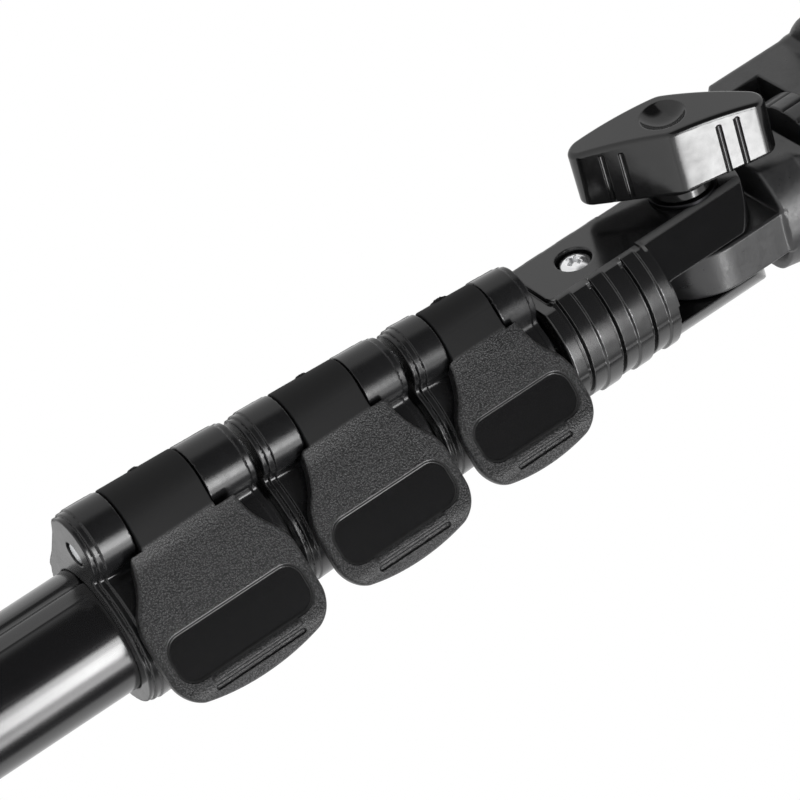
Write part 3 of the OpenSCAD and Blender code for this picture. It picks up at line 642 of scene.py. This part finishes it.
def leverPiece(k):
    s = lockSizes(k)
    look = leverLook
    turn = math.radians(look["angle"])
    axisQ = np.array((math.cos(turn), -math.sin(turn)))  # along the plate, away from the hinge
    axisN = np.array((-math.sin(turn), -math.cos(turn)))  # out of the plate's face
    pinQ = s["pin"] @ axisQ
    pinN = s["pin"] @ axisN
    wide = look["wide"] - k * look["wideStep"]
    end = look["end"] - k * look["endStep"]
    under = s["collarR"] + look["gap"]
    top = under + look["thick"]
    neck = wide - look["neckIn"]
    archR = look["archShare"] * wide
    spin = math.radians(-look["releaseTurn"])
    release = np.array([(math.cos(spin), -math.sin(spin)), (math.sin(spin), math.cos(spin))]) @ s["along"]
    releaseQ = release @ axisQ
    releaseN = release @ axisN

    def panelPlan(q, t):
        return barPlan(q, t, look["panelFrom"] - look["panelStep"] * k, end - look["panelEnd"],
                       wide - look["panelIn"], look["panelCorner"])

    # q runs along the plate, t across it and n out of its face
    def field(q, t, n):
        z = t + look["shift"]
        side = np.abs(t)
        barrelR = s["barrel"] - look["cone"] * z / s["half"]
        flare = (side - neck - look["flareSlope"] * (q - k + look["flareFrom"])) * 0.8
        plan = roundMin(side - neck, roundMax(side - wide, flare, 1.5), 2.5)
        plan = roundMax(plan, np.hypot(q - end + archR, t) - archR, look["corner"])
        plan = roundMax(plan, pinQ + look["neckFrom"] - q, 0.8)
        strip = np.maximum(np.abs(z) - s["half"], between(q, pinQ, pinQ + look["stripLong"]))
        plan = roundMin(plan, strip, 0.4)
        fall = look["droop"] * np.clip((q - end + look["droopLong"]) / look["droopLong"], 0, 1) ** 2
        crest = (pinN + barrelR - top) * (1 - smoothStep(q, pinQ, pinQ + look["crestLong"]))
        over = n + fall - top - crest  # height over the plate's face
        thin, full = look["edgeGrow"]
        edge = look["thinEdge"] + (look["edge"] - look["thinEdge"]) * smoothStep(q, pinQ + thin, pinQ + full)
        solid = roundMax(plan, np.maximum(over, under - n - fall), edge)
        fromPin = np.hypot(q - pinQ, n - pinN)
        clear = np.maximum(fromPin - lockLook["clear"][k], s["half"] + lockLook["pocketPlay"] - np.abs(z))
        solid = cut(solid, clear, plain)
        barrel = roundMax(fromPin - barrelR, np.abs(z) - s["half"], soft)
        flat = (q - pinQ) * releaseQ + (n - pinN) * releaseN - s["barrel"] + look["release"]
        solid = np.minimum(solid, roundMax(barrel, flat, soft))
        solid = cut(solid, roundMax(panelPlan(q, t), -look["panel"] - over, plain), look["panelEdge"])
        ridge = barPlan(q, t, end - look["ridge"][0], end - look["ridge"][1], wide - look["barIn"], 0.55)
        solid = roundMin(solid, roundMax(ridge, np.abs(over) - look["ridgeHigh"], 0.38), plain)
        groove = barPlan(q, t, end - look["groove"][0], end - look["groove"][1], wide - look["barIn"], 0.38)
        solid = cut(solid, roundMax(groove, np.abs(over) - look["grooveDeep"], soft), plain)
        scarZ = (z - look["scarAt"][k]) / look["scarLong"][k]
        scar = np.sqrt(((q - pinQ + s["barrel"]) / look["scarHigh"][k]) ** 2 + scarZ ** 2
                       + ((n - pinN) / look["scarWide"]) ** 2) - 1
        scar = scar * 0.35 + 0.09 * np.sin(11 * z) * np.sin(8 * n + 9 * q)  # with a ragged surface
        solid = roundMin(solid, scar, 0.08)
        return cut(solid, fromPin - lockLook["pinR"] - look["pinPlay"], keen)

    low = np.array((pinQ - s["pocket"], -wide, pinN - s["pocket"]))
    high = np.array((end, wide, max(top + 0.5, pinN + s["pocket"])))
    p, faces, normals = skin(field, low, high, look["cell"], margin=0.5)
    q, t, n = p.T
    basis = np.stack([(*axisQ, 0), (0, 0, 1), (*axisN, 0)])
    points = p @ basis + np.array((0, 0, s["mid"] + look["shift"]))
    piece = makePiece(f"leverPiece{k + 1}", points, faces, "sparkErodedAbs", f"lever_{k + 1}",
                      normals @ basis)
    start = pinQ + look["grainFrom"]
    onPlate = smoothStep(q, start, start + look["grainFade"])
    outside = smoothStep(panelPlan(q, t), 0.2, 0.5)
    grain = onPlate * (look["panelGrain"] + (1 - look["panelGrain"]) * outside)
    # Towards the lip the grain value rises above 1, which paints the lip paler: a painted highlight.
    lip = smoothStep(q, end - look["lip"][0], end - look["lip"][1])
    grain = grain * (1 + look["lipPaintedGlow"] * lip)  # the lip's grain is painted paler, a painted highlight where the lip curls towards the light
    carry(piece, "grain", grain * smoothStep(n, under, under + look["grainFade"]))
    carry(piece, "matt", 1 - onPlate)


# Hinge pins: cut wire with rounded ends.
def pinPiece(k):
    low, high = extent(f"pin_{k + 1}")
    low[2] += lockLook["endIn"][k]
    radius = (high[0] - low[0]) / 2
    corners = [(0, low[2]), (radius, low[2]), (radius, high[2]), (0, high[2])]
    points, faces = turned(softOutline(corners, (0, soft, soft, 0))[1:-1], 64, hollow=False)
    points[:, :2] += pivot[f"lever_{k + 1}_hinge"][:2]
    makePiece(f"pinPiece{k + 1}", points, faces, "zincPlatedSteel", f"pin_{k + 1}")


for k in (0, 1, 2):
    collarPiece(k)
    leverPiece(k)
    pinPiece(k)

# Fork: a ribbed neck with two flat cheeks that opens into two arms, the near one's front planed flat.
forkLook = {"cell": (0.3, 0.3, 0.22), "neckR": 12.2, "flat": 10.6, "slot": 8.8, "rise": 13.0, "ribs": 3,
            "first": 3.1, "pitch": 6.6, "low": 2.7, "gap": 0.6, "step": 0.4, "sink": 0.8, "ease": 0.3,
            "armR": 13.3, "armDrop": 4.2, "edge": 0.35, "cheek": 6.1, "cheekFrom": 2.2, "cheekCorner": 1.5,
            "tubeDeep": 18.0, "screwUp": 11.5, "screwSeat": 2.2, "screwHole": 3.1, "screwR": 1.27,
            "boltR": 2.52, "hexFlat": 4.03, "headSeat": 2.4, "backTurn": 141, "backIn": 0.15,
            "planeTurn": 49.2, "planeIn": 0.62, "farIn": 0.2, "lipTurn": 16, "lipIn": 0.22, "partTurn": -82,
            "partHigh": 0.05, "partWide": 0.2, "ledgeLong": 2.3, "ledgeWide": 0.9, "ledgeIn": 0.15,
            "footHigh": 2.2, "footIn": 0.9, "ribWorn": 0.02, "edgeWorn": 0.9}


def forkPiece():
    low, high = extent("fork")
    look = forkLook
    slotZ = tiltZ - look["rise"]
    neckZ = low[2]
    r = look["neckR"]
    planeTurn = math.radians(look["planeTurn"])
    lipTurn = math.radians(look["lipTurn"])
    back = math.radians(look["backTurn"])
    cornerY = (r - look["planeIn"] - look["flat"] * math.cos(planeTurn)) / math.sin(planeTurn)
    lipAt = look["flat"] * math.cos(lipTurn) + cornerY * math.sin(lipTurn) - look["lipIn"]

    def pastLip(x, y):  # distance out of the narrow face between cheek and front
        return np.abs(x) * math.cos(lipTurn) + np.abs(y) * math.sin(lipTurn) - lipAt

    # The neck's radius steps up and down over its ribs, and steps a hair at the mould's parting line.
    def field(x, y, z):
        around = np.hypot(x, y)
        foot = plateau(z, neckZ - 2, neckZ + look["first"] - look["gap"], look["ease"])
        radius = r - look["sink"] * (1 - foot)
        for i in range(look["ribs"]):
            base = neckZ + look["first"] + i * look["pitch"]
            stop = base + look["pitch"] - look["gap"]
            radius = radius + look["sink"] * plateau(z, base, stop, look["ease"])
            radius = radius + look["step"] * plateau(z, base + look["low"], stop, look["ease"])
        radius = np.maximum(radius, r - look["sink"] * (1 - smoothStep(z, slotZ - 0.6, slotZ - 0.3)))
        fromPart = np.arctan2(y, x) - math.radians(look["partTurn"])
        radius = radius + look["partHigh"] * np.tanh(fromPart * r / look["partWide"])
        solid = roundMax((around - radius) * 0.75, neckZ - z, 0.25)
        footTop = neckZ + look["footHigh"]
        footIn = look["footIn"] * (1 - smoothStep(z, footTop, footTop + look["ease"]))
        solid = roundMax(solid, np.abs(x) - look["flat"] + footIn, plain)
        cheek = barPlan(z, y, neckZ + look["cheekFrom"], high[2], look["cheek"], look["cheekCorner"])
        solid = np.minimum(solid, roundMax(cheek, np.abs(x) - look["flat"], soft))
        for i in range(1, look["ribs"]):
            groove = neckZ + look["first"] + i * look["pitch"]
            ledge = np.maximum(between(z, groove - look["gap"] - look["ledgeLong"], groove),
                               between(np.abs(y), look["cheek"] - 0.5, look["cheek"] + look["ledgeWide"]))
            solid = np.minimum(solid, roundMax(ledge, np.abs(x) - look["flat"] + look["ledgeIn"], keen))
        plane = np.abs(x) * math.cos(planeTurn) + np.abs(y) * math.sin(planeTurn) - r + look["planeIn"]
        plane = np.where(x > 0, around - r + look["farIn"], plane)
        solid = cut(solid, np.maximum(-np.maximum(plane, pastLip(x, y)), slotZ - 0.4 - z), 0.12)
        crown = np.hypot(y, np.maximum(z - tiltZ + look["armDrop"], 0)) - look["armR"]
        solid = roundMax(solid, crown, look["edge"])
        solid = roundMax(solid, np.abs(x) - look["flat"], 0.12)
        solid = roundMax(solid, x * math.cos(back) + y * math.sin(back) - r + look["backIn"], soft)
        solid = cut(solid, np.maximum(np.abs(x) - look["slot"] / 2, slotZ - z), soft)
        solid = cut(solid, np.maximum(around - tubeR[3] - fit, z - neckZ - look["tubeDeep"]), plain)
        solid = cut(solid, np.hypot(y, z - tiltZ) - look["boltR"], crisp)
        headSeat = np.maximum(hexagon(y, z - tiltZ, look["hexFlat"]), look["flat"] - look["headSeat"] - x)
        solid = cut(solid, headSeat, crisp)
        fromScrew = np.hypot(y, z - neckZ - look["screwUp"])
        screwSeat = np.maximum(fromScrew - look["screwHole"], x + look["flat"] - look["screwSeat"])
        solid = cut(solid, screwSeat, soft)
        return cut(solid, np.maximum(fromScrew - look["screwR"], x), keen)

    points, faces, normals = skin(field, low, high, look["cell"], margin=0.6)
    piece = makePiece("forkPiece", points, faces, "forkAbs", "fork", normals)
    x, y, z = np.abs(points).T
    # The arm's lip face is painted pale, a painted highlight for the light its bevel catches; ribs and cheek edges
    # get scuff wear.
    wornAndSheen = smoothStep(pastLip(x, y), -0.12, -0.03) * (z > slotZ - 1)
    ribs = look["ribWorn"] * (x < look["flat"] - 0.3) * (z < slotZ)
    edge = smoothStep(x, look["flat"] - 0.4, look["flat"] - 0.15) * (z < slotZ - 1.5)
    edge = edge * plateau(y, look["cheek"] - 0.5, look["cheek"] + look["ledgeWide"] + 0.2, 0.2)
    carry(piece, "wornAndSheen", np.maximum(np.maximum(wornAndSheen, ribs), look["edgeWorn"] * edge))


# Neck screw: a domed head with a tapered cross recess, on a plain shank.
screwLook = {"cell": 0.1, "headR": 2.75, "rim": 1.3, "dome": 2.1, "cross": 1.55, "slot": 0.42, "deep": 1.3,
             "taper": 0.3, "turn": 22, "shankR": 1.25}


def forkScrewPiece():
    look = screwLook
    low, high = extent("fork_screw")
    seatX = forkLook["screwSeat"] - forkLook["flat"]
    screwZ = (low[2] + high[2]) / 2
    rise = look["dome"] - look["rim"]
    domeR = (look["headR"] ** 2 + rise ** 2) / (2 * rise)
    turn = math.radians(look["turn"])

    # h runs out of the cheek from the screw's seat
    def field(a, b, h):
        around = np.hypot(a, b)
        dome = np.hypot(around, h - look["dome"] + domeR) - domeR
        head = roundMax(roundMax(around - look["headR"], dome, crisp), -h, keen)
        solid = np.minimum(head, rod(around, h, look["shankR"], seatX - high[0], 0.2, keen))
        sunk = (look["dome"] - h) * look["taper"]
        p = np.abs(a * math.cos(turn) + b * math.sin(turn))
        q = np.abs(b * math.cos(turn) - a * math.sin(turn))
        wide = look["slot"] - sunk * 0.5
        longer = look["cross"] - sunk * 2
        cross = roundMin(np.maximum(p - wide, q - longer), np.maximum(q - wide, p - longer), 0.25)
        return cut(solid, np.maximum(cross, look["dome"] - look["deep"] - h), keen)

    reach = np.array((look["headR"], look["headR"], look["dome"]))
    lowest = np.array((-look["headR"], -look["headR"], seatX - high[0]))
    p, faces, normals = skin(field, lowest, reach, look["cell"])
    basis = np.array([(0, 0, 1), (0, 1, 0), (-1, 0, 0)], float)
    points = p @ basis + np.array((seatX, 0, screwZ))
    makePiece("forkScrewPiece", points, faces, "brightZinc", "fork_screw", normals @ basis)


# Tilt block: a tongue between the arms, a shoulder that flares into the deck, a window right through.
blockLook = {"cell": 0.34, "tongueR": 11.7, "tongue": 8.3, "shoulder": 10.3, "flat": 10.6, "neck": 12.4,
             "lean": 1.2, "leanHigh": 7.0, "flare": 8.7, "flareFrom": 6.4, "flareTo": 11.0, "deckR": 21.7,
             "deck": 4.8, "window": 29.0, "windowHigh": 8.3, "windowUp": 9.2, "boltR": 2.56, "discR": 6.52,
             "discIn": 3.54, "shankR": 3.06, "shankDeep": 6.0, "edge": 0.5}


def tiltBlockPiece():
    low, high = extent("tilt_block")
    look = blockLook
    shoulder = tiltZ + look["shoulder"]
    windowZ = shoulder + look["windowUp"]
    top = high[2]
    deckZ = top - look["deck"]

    def field(x, y, z):
        around = np.hypot(x, y)
        fromBolt = np.hypot(y, z - tiltZ)
        tongue = np.hypot(y, np.minimum(z - tiltZ, 0)) - look["tongueR"]
        tongue = roundMax(tongue, np.abs(x) - look["tongue"] / 2, look["edge"])
        tongue = roundMax(tongue, z - shoulder - 1, keen)
        up = z - shoulder
        flare = (look["neck"] + look["lean"] * np.clip(up / look["leanHigh"], 0, 1)
                 + look["flare"] * smoothStep(up, look["flareFrom"], look["flareTo"]))
        body = roundMax((around - flare) * 0.6, np.abs(x) - look["flat"], look["edge"])
        body = roundMax(body, between(z, shoulder, deckZ + 1), look["edge"])
        deck = rod(around, z, look["deckR"], deckZ, top, 0.9)
        solid = roundMin(roundMin(tongue, body, 0.5), deck, 1.6)
        solid = cut(solid, fromBolt - look["boltR"], crisp)
        solid = cut(solid, np.maximum(fromBolt - look["discR"], look["discIn"] - np.abs(x)), keen)
        windowTop = windowZ + look["windowHigh"]
        window = np.maximum(np.abs(y) - look["window"] / 2, between(z, windowZ, windowTop))
        solid = cut(solid, window, soft)
        return cut(solid, np.maximum(around - look["shankR"], windowZ - look["shankDeep"] - z), crisp)

    points, faces, normals = skin(field, low, high, look["cell"], margin=0.6)
    makePiece("tiltBlockPiece", points, faces, "blockAbs", "tilt_block", normals)


# Wing knob: a long lozenge plan drawn up to a crowned top with a thumb dimple, on a round stem. Two grip
# grooves run down each of the four sides.
knobLook = {"cell": 0.22, "long": 34.0, "wide": 12.2, "high": 12.3, "stem": 2.0, "stemR": 5.4, "tip": 2.3,
            "ridge": 0.6, "soft": 0.8, "crown": 71, "turn": 28, "foot": 0.86, "edge": 0.8, "dimpleR": 5.4,
            "dimpleUp": 3.6, "grooves": (8.25, 11.4), "grooveR": 0.45, "grooveDrop": 2.4, "insertR": 4.02,
            "insertDeep": 7.0}


def knobPiece():
    look = knobLook
    base = look["foot"] + look["stem"]
    top = base + look["high"]
    lean = math.atan2(look["wide"] / 2 - look["tip"], look["long"] / 2 - look["tip"])
    halfWide = math.hypot(look["wide"] / 2, look["soft"])

    # u runs along the wings, v across them, h up from the fork's cheek
    def field(u, v, h):
        along = np.hypot(u, look["ridge"]) - look["ridge"]
        side = (np.hypot(v, look["soft"]) - halfWide) * math.cos(lean) + along * math.sin(lean)
        plan = roundMax(side, np.abs(u) - look["long"] / 2, look["tip"])
        crown = np.hypot(u, h - top + look["crown"]) - look["crown"]
        solid = roundMax(plan, np.maximum(crown, base - h), look["edge"])
        stem = rod(np.hypot(u, v), h, look["stemR"], look["foot"], base + 1, soft)
        solid = roundMin(solid, stem, 0.4)
        dimple = np.sqrt(u ** 2 + v ** 2 + (h - top - look["dimpleUp"]) ** 2) - look["dimpleR"]
        solid = cut(solid, dimple, keen)
        for place in look["grooves"]:
            line = np.hypot(side, np.abs(u) - place) - look["grooveR"]
            solid = cut(solid, roundMax(line, h - top + look["grooveDrop"], soft), keen)
        insert = np.maximum(np.hypot(u, v) - look["insertR"], h - base - look["insertDeep"])
        return cut(solid, insert, crisp)

    half = np.array((look["long"] / 2, look["wide"] / 2, 0))
    low = np.array((0, 0, look["foot"])) - half
    high = np.array((0, 0, top)) + half
    p, faces, normals = skin(field, low, high, look["cell"], margin=0.5)
    turn = math.radians(look["turn"])
    basis = np.array([(0, -math.sin(turn), math.cos(turn)), (0, math.cos(turn), math.sin(turn)),
                      (-1, 0, 0)])
    points = p @ basis + np.array((-forkLook["flat"], 0, tiltZ))
    makePiece("knobPiece", points, faces, "knobAbs", "knob", normals @ basis)


# Tilt bolt: a shank turned about X with a chamfered hexagon head, and the knob's washer.
boltLook = {"shankR": 2.5, "headR": 4.6, "headHigh": 3.2, "chamfer": 0.7, "edge": 0.12, "tipEdge": 0.5}


def tiltBoltPiece():
    look = boltLook
    low, high = extent("tilt_bolt")
    seat = high[0] - look["headHigh"]
    edge = look["edge"]
    corners = [(0, low[0]), (look["shankR"], low[0]), (look["shankR"], seat), (look["headR"], seat),
               (look["headR"], high[0] - look["chamfer"] / 2), (look["headR"] - look["chamfer"], high[0]),
               (0, high[0])]
    profile = softOutline(corners, (0, look["tipEdge"], edge, edge, edge, edge, 0))

    def flats(angle, r, x):  # the head's radius is no larger than the hexagon's at this angle
        off = (angle - np.pi / 2) % (np.pi / 3) - np.pi / 6
        return np.minimum(look["headR"] * math.cos(np.pi / 6) / np.cos(off) - r, 0)

    points, faces = turned(profile[1:-1], 144, flats, hollow=False)
    makePiece("tiltBoltPiece", layAlongX(points), faces, "zincPlatedSteel", "tilt_bolt")


def knobWasherPiece():
    low, high = extent("knob_washer")
    outer = high[1]
    inner = boltLook["shankR"] + fit
    profile = softOutline([(inner, low[0]), (outer, low[0]), (outer, high[0]), (inner, high[0])], plain)
    points, faces = turned(profile)
    makePiece("knobWasherPiece", layAlongX(points), faces, "blackOxideSteel",
              "knob_washer")


# Thumbwheel: a rim with narrow slots cut in its edge, on a hub.
wheelLook = {"notches": 20, "notchR": 0.42, "notchSteps": 14, "lip": 0.1, "hubR": 5.6, "boreR": 3.02,
             "rimUp": 2.3, "rimHigh": 4.9, "edge": 0.35}


def thumbwheelPiece():
    look = wheelLook
    low, high = extent("thumbwheel")
    radius = high[0]
    rimLow = low[2] + look["rimUp"]
    rimHigh = rimLow + look["rimHigh"]
    profile = softOutline([(look["boreR"], low[2]), (look["hubR"], low[2]), (look["hubR"], rimLow),
                           (radius, rimLow), (radius, rimHigh), (look["hubR"], rimHigh),
                           (look["hubR"], high[2]), (look["boreR"], high[2])], look["edge"])

    def notch(angle, r, z):
        step = 2 * np.pi / look["notches"]
        off = (angle + step / 2) % step - step / 2
        gap = np.hypot(r * np.cos(off) - radius, r * np.sin(off)) - look["notchR"]
        return -softDip(gap, look["lip"]) * (r > radius - 1)

    points, faces = turned(profile, look["notches"] * look["notchSteps"], notch)
    makePiece("thumbwheelPiece", points, faces, "blockAbs", "thumbwheel")


# Camera screw: a shank and a rolled 20-per-inch thread, its radius falling with the distance from the helix.
camScrewLook = {"shankR": 3.0, "shankEdge": 0.3, "threadR": 3.175, "pitch": 1.27, "deep": 0.72,
                "root": (1.25, 2.9), "chamfer": 0.7, "rows": 150}


def cameraScrewPiece():
    look = camScrewLook
    low, high = extent("camera_screw")
    deckTop = extent("tilt_block")[1][2]
    z = np.linspace(deckTop + 0.2, high[2], look["rows"])
    tip = np.minimum(look["threadR"], look["threadR"] - look["chamfer"] + (high[2] - z))
    thread = np.stack([tip, z], -1)
    shank = [(0, low[2]), (look["shankR"] - look["shankEdge"], low[2]),
             (look["shankR"], low[2] + look["shankEdge"]), (look["shankR"], deckTop)]
    profile = np.concatenate([shank, thread, [(0, high[2])]])

    def helix(angle, r, z):
        off = (z / look["pitch"] - angle / (2 * np.pi)) % 1 - 0.5
        wide, slope = look["root"]
        root = look["deep"] * np.clip(wide - slope * np.abs(off), 0, 1)
        return -root * smoothStep(z, deckTop + 0.2, deckTop + 1) * (r > 1) * (z < high[2])

    points, faces = turned(profile, 72, helix, hollow=False)
    makePiece("cameraScrewPiece", points, faces, "zincPlatedSteel", "camera_screw")


# Platform pad: a rubber disc with three ring grooves in its top.
padLook = {"hole": 4.975, "edge": 0.4, "rings": (9.0, 12.5, 16.0), "ringR": 0.6, "lip": 0.15, "rows": 260,
           "steps": 144}


def platformPadPiece():
    look = padLook
    low, high = extent("platform_pad")
    r = np.linspace(high[0] - look["edge"], look["hole"] + look["edge"], look["rows"])
    gap = np.abs(r[:, None] - np.array(look["rings"])).min(1) - look["ringR"]
    face = np.stack([r, high[2] - softDip(gap, look["lip"])], -1)
    rim = [(look["hole"], high[2] - look["edge"]), (look["hole"], low[2]), (high[0], low[2]),
           (high[0], high[2] - look["edge"])]
    points, faces = turned(np.concatenate([rim, face]), look["steps"])
    makePiece("platformPadPiece", points, faces, "mouldedRubber", "platform_pad")


forkPiece()
forkScrewPiece()
tiltBlockPiece()
knobPiece()
tiltBoltPiece()
knobWasherPiece()
thumbwheelPiece()
cameraScrewPiece()
platformPadPiece()

# Guides, pads, discs and the knob's insert keep their solids and take a finish of their own.
nodeFinish = {"knob_insert": "turnedBrass", "tilt_disc_near": "naturalNylon", "tilt_disc_far": "naturalNylon"}
for k in (1, 2, 3):
    nodeFinish[f"plug_{k + 1}"] = "naturalNylon"
    nodeFinish[f"guide_ring_{k}"] = "naturalNylon"
    nodeFinish[f"clamp_pad_{k}"] = "naturalNylon"
for node, finish in nodeFinish.items():
    solid = frame["nodes"][node]
    solid.data.materials.clear()
    solid.data.materials.append(finishes[finish])
print("dressed:", len(nodeFinish), "carried-over nodes")

# Studio: white all round, a dark room on the camera's side and a dark card, four soft boxes, a pale floor.
studio = {"fill": 0.38, "centre": (0, 0, 330), "floor": 12000, "floorColour": "#f0f0f0", "floorRough": 0.6,
          "floorGlow": 0.5}
darkRoom = {"turn": -50, "up": 14, "edge": (0.62, 0.86), "level": 0.1}
darkCard = {"turn": 56, "up": 11, "edge": (0.961, 0.988), "level": 0.12}
boxLights = {"mainBox": {"turn": 4.5, "up": 12, "away": 900, "wide": 530, "tall": 240, "radiance": 9},
             "coreBox": {"turn": 8.5, "up": 12, "away": 890, "wide": 285, "tall": 240, "radiance": 7},
             "sideBox": {"turn": 30, "up": 12, "away": 900, "wide": 270, "tall": 240, "radiance": 4},
             "knobBox": {"turn": 35, "up": 3.3, "away": 3000, "wide": 700, "tall": 330, "radiance": 15}}
white = (1, 1, 1, 1)


def toward(turn, up):  # unit vector by turn about Z from -Y and height above the horizon, in degrees
    a, e = math.radians(turn), math.radians(up)
    return Vector((math.sin(a) * math.cos(e), -math.cos(a) * math.cos(e), math.sin(e)))


for name, box in boxLights.items():
    lamp = bpy.data.lights.new(name, "AREA")
    lamp.shape = "RECTANGLE"
    lamp.size = box["wide"] * mm
    lamp.size_y = box["tall"] * mm
    lamp.energy = box["radiance"] * math.pi * lamp.size * lamp.size_y
    holder = bpy.data.objects.new(name, lamp)
    way = toward(box["turn"], box["up"])
    place = Vector(studio["centre"]) * mm + way * box["away"] * mm
    holder.matrix_world = Matrix.Translation(place) @ way.to_track_quat("Z", "Y").to_matrix().to_4x4()
    bpy.context.scene.collection.objects.link(holder)

world = bpy.data.worlds.new("studio")
bpy.context.scene.world = world
world.use_nodes = True
sky = world.node_tree
sky.nodes.clear()
skyWay = addNode(sky, "ShaderNodeTexCoord").outputs["Generated"]


def darkening(card):  # 1 all round, falling to the card's level inside its cone
    facing = addNode(sky, "ShaderNodeVectorMath",
                     {"operation": "DOT_PRODUCT", 1: toward(card["turn"], card["up"])}, {0: skyWay})
    settings = {"interpolation_type": "SMOOTHSTEP", "From Min": card["edge"][0], "From Max": card["edge"][1],
                "To Min": 1, "To Max": card["level"]}
    return addNode(sky, "ShaderNodeMapRange", settings, {"Value": facing.outputs["Value"]}).outputs[0]


# The eye sees the sky white, gloss mirrors it with the dark room and card, and the rest is lit by the fill.
ray = addNode(sky, "ShaderNodeLightPath").outputs
seen = reckon(sky, "MAXIMUM", ray["Is Camera Ray"], ray["Is Transmission Ray"])
dim = reckon(sky, "MULTIPLY", darkening(darkRoom), darkening(darkCard))
bright = reckon(sky, "MAXIMUM", seen, reckon(sky, "MULTIPLY", ray["Is Glossy Ray"], dim))
anySeen = reckon(sky, "MAXIMUM", seen, ray["Is Glossy Ray"])
level = addNode(sky, "ShaderNodeMix", {"data_type": "FLOAT", 2: studio["fill"]}, {0: anySeen, 3: bright})
air = addNode(sky, "ShaderNodeBackground", {"Color": white}, {"Strength": level.outputs[0]})
addNode(sky, "ShaderNodeOutputWorld", links={"Surface": air.outputs[0]})

# The floor glows a little to the eye and in gloss, so that it looks white and still keeps the part's shadow.
half = studio["floor"] * mm
floorMesh = bpy.data.meshes.new("floor")
floorMesh.from_pydata([(-half, -half, 0), (half, -half, 0), (half, half, 0), (-half, half, 0)], [],
                      [(0, 1, 2, 3)])
floor = bpy.data.objects.new("floor", floorMesh)
bpy.context.scene.collection.objects.link(floor)
tree, shader, place = newFinish("paleFloor", {"Base Color": linear(studio["floorColour"]),
                                              "Roughness": studio["floorRough"], "Emission Color": white})
ray = addNode(tree, "ShaderNodeLightPath").outputs
seen = reckon(tree, "MAXIMUM", ray["Is Camera Ray"], ray["Is Glossy Ray"])
tree.links.new(reckon(tree, "MULTIPLY", seen, studio["floorGlow"]), shader.inputs["Emission Strength"])
floorMesh.materials.append(finishes["paleFloor"])
bpy.context.scene.view_settings.view_transform = "Standard"
print("studio ready")
